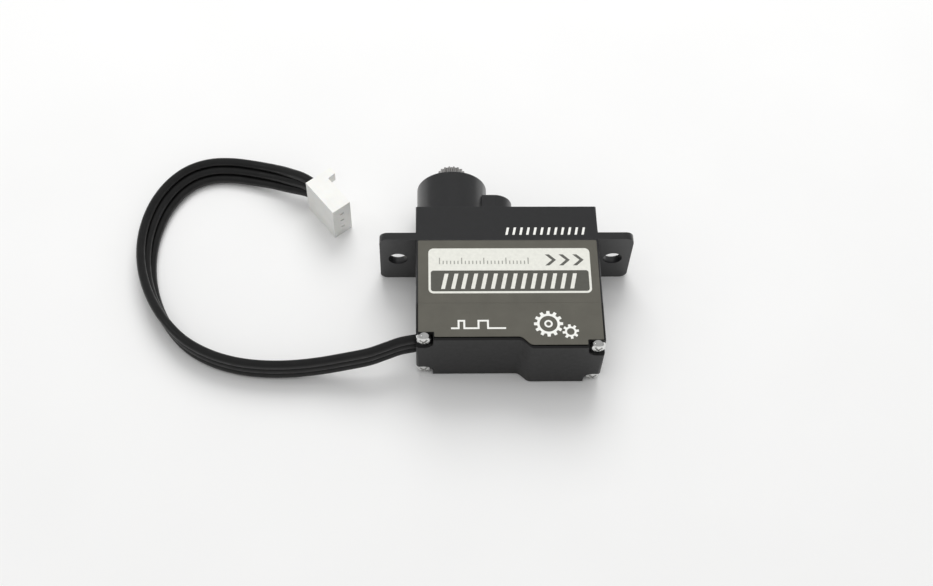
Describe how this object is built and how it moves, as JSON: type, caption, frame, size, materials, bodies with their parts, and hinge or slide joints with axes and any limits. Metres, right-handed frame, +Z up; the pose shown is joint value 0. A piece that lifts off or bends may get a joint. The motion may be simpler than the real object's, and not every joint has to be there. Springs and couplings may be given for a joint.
{
  "type": "servo motor",
  "caption": "Slim miniature steering servo: metal case with side mounting tabs, splined output shaft, metal gear train inside and a short flat cable with a white plug.",
  "frame": {"origin": "middle of the servo's footprint, cable and plug left out, on the surface that the broad face lies on", "axes": "+X across the body from tab to tab, away from the cable; +Y along the output shaft towards its splined tip; +Z up through the case's thickness"},
  "size_m": [0.0557, 0.0288, 0.008],
  "materials": {
    "anodised_black": "fine satin black anodised aluminium",
    "case_black": "satin black glass-filled plastic",
    "label_film": "dark brushed metallic film under clear gloss",
    "nickel_steel": "bright nickel-plated steel",
    "titanium": "machined titanium",
    "bearing_steel": "ground bearing steel",
    "polished_steel": "polished",
    "cage_brass": "stamped brass",
    "bronze": "oil-filled bronze",
    "brass_gear": "hobbed brass",
    "copper_winding": "lacquered copper wire",
    "can_steel": "drawn nickel-plated steel",
    "magnet": "sintered magnet",
    "cap_plastic": "black moulded plastic",
    "contact_metal": "gold-flashed spring metal",
    "pot_blue": "blue moulded plastic",
    "track_carbon": "printed carbon track",
    "nylon_cream": "natural nylon",
    "board_green": "green solder mask",
    "chip_black": "moulded epoxy",
    "ceramic_tan": "ceramic with tinned ends",
    "lead_red": "red insulation",
    "cable_black": "black silicone insulation",
    "plug_white": "natural white nylon"
  },
  "bodies": {
    "case": {"top_case": "anodised_black", "middle_case": "anodised_black", "bottom_case": "case_black", "label": "label_film", "case_screws": "nickel_steel", "bearing_outer_ring": "bearing_steel", "lower_bush": "bronze", "output_spacer": "brass_gear", "first_axle": "polished_steel", "second_axle": "polished_steel", "first_axle_washer": "brass_gear", "second_axle_spacer": "brass_gear", "motor_can": "can_steel", "motor_magnet": "magnet", "motor_bush": "bronze", "motor_end_cap": "cap_plastic", "motor_brushes": "contact_metal", "motor_terminals": "contact_metal", "pot_housing": "pot_blue", "pot_track": "track_carbon", "pot_terminals": "contact_metal", "circuit_board": "board_green", "control_chip": "chip_black", "driver_chips": "chip_black", "capacitors": "ceramic_tan", "resistors": "chip_black", "motor_wires": "lead_red", "inner_leads": "cable_black", "cable_grommet": "cable_black", "cable": "cable_black", "plug_housing": "plug_white", "plug_contacts": "contact_metal"},
    "output": {"output_shaft": "titanium", "bearing_inner_ring": "bearing_steel", "wiper_carrier": "nylon_cream", "wiper_contact": "contact_metal"},
    "ball_set": {"bearing_balls": "polished_steel", "bearing_cage": "cage_brass"},
    "gear_four": {"fourth_gear": "titanium"},
    "gear_three": {"third_gear": "titanium"},
    "gear_two": {"second_gear": "titanium"},
    "gear_one": {"first_gear": "brass_gear"},
    "rotor": {"motor_pinion": "brass_gear", "motor_shaft": "polished_steel", "motor_coil": "copper_winding", "motor_commutator": "copper_winding"}
  },
  "joints": [
    {"name": "output_turn", "type": "hinge", "parent": "case", "child": "output", "pos_m": [-0.0059, 0, 0.004], "axis": [0, 1, 0], "range_deg": [-60, 60]},
    {"name": "ball_set_turn", "type": "hinge", "parent": "case", "child": "ball_set", "pos_m": [-0.0059, 0, 0.004], "axis": [0, 1, 0], "range_deg": [-26, 26]},
    {"name": "gear_four_turn", "type": "hinge", "parent": "case", "child": "gear_four", "pos_m": [-0.0012, 0, 0.004], "axis": [0, 1, 0], "range_deg": [-117, 117]},
    {"name": "gear_three_turn", "type": "hinge", "parent": "case", "child": "gear_three", "pos_m": [-0.0059, 0, 0.004], "axis": [0, 1, 0], "range_deg": [-226, 226]},
    {"name": "gear_two_turn", "type": "hinge", "parent": "case", "child": "gear_two", "pos_m": [-0.0012, 0, 0.004], "axis": [0, 1, 0], "range_deg": [-437, 437]},
    {"name": "gear_one_turn", "type": "hinge", "parent": "case", "child": "gear_one", "pos_m": [0.0025, 0, 0.004], "axis": [0, 1, 0], "range_deg": [-1359, 1359]},
    {"name": "rotor_turn", "type": "hinge", "parent": "case", "child": "rotor", "pos_m": [0.00595, 0, 0.004], "axis": [0, 1, 0], "range_deg": [-5583, 5583]}
  ],
  "couplings": [
    {"joint": "ball_set_turn", "follows": "output_turn", "ratio": 0.41102},
    {"joint": "gear_four_turn", "follows": "output_turn", "ratio": -1.9375},
    {"joint": "gear_three_turn", "follows": "output_turn", "ratio": 3.7539},
    {"joint": "gear_two_turn", "follows": "output_turn", "ratio": -7.2732},
    {"joint": "gear_one_turn", "follows": "output_turn", "ratio": 22.628},
    {"joint": "rotor_turn", "follows": "output_turn", "ratio": -93.025}
  ]
}
